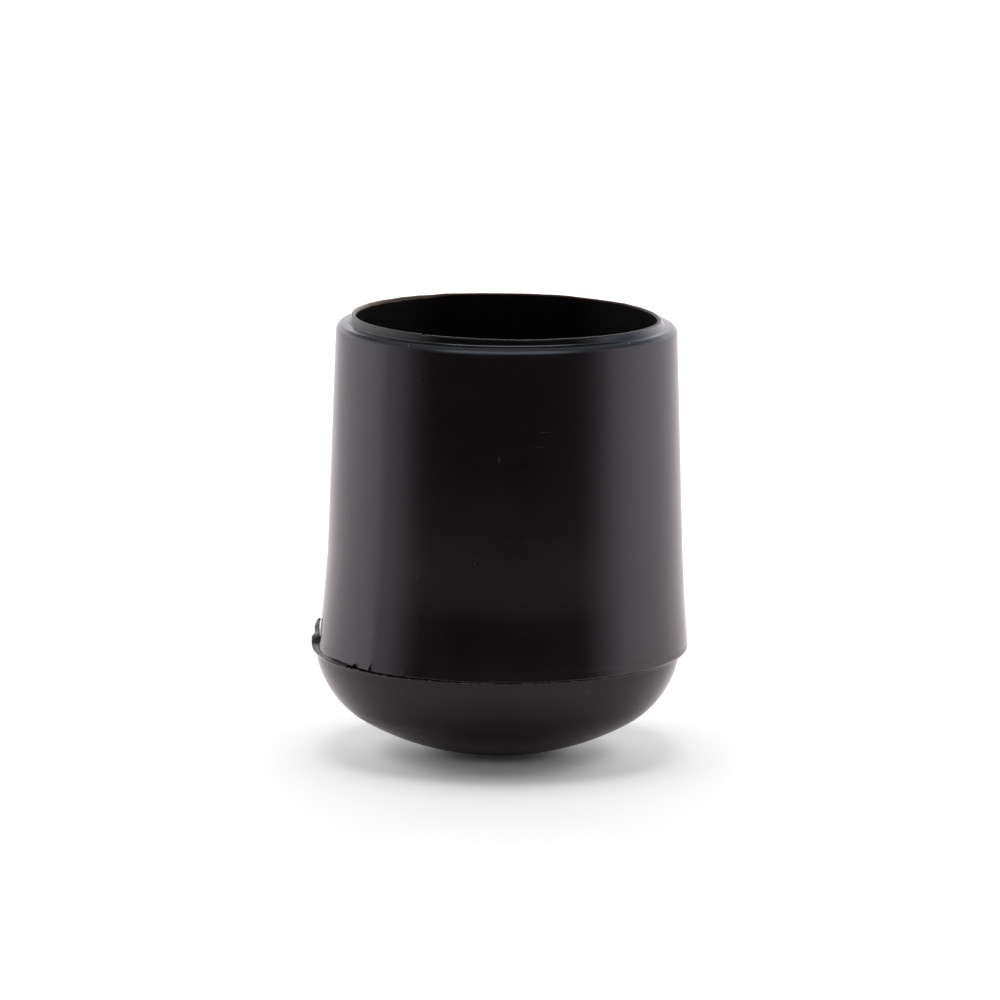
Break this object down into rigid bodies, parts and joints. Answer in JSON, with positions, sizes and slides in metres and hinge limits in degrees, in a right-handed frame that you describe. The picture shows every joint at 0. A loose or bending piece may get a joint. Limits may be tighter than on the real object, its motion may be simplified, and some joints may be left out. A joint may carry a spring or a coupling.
{
  "type": "chair leg cap",
  "caption": "Black plastic cap, moulded in one piece, that slips over the end of a round tube leg. Drafted barrel, thin lip round the bore, domed foot.",
  "frame": {"origin": "on the bore's axis, level with the lowest point of the domed foot", "axes": "+Z along the bore's axis and out of its mouth, -X towards the flash on the parting line"},
  "size_m": [0.032, 0.031, 0.0373],
  "materials": {
    "black_plastic": "satin black as moulded, with fine turning lines from the mould and torn flash on the parting line"
  },
  "bodies": {
    "root": {"leg_cap": "black_plastic"}
  },
  "joints": []
}
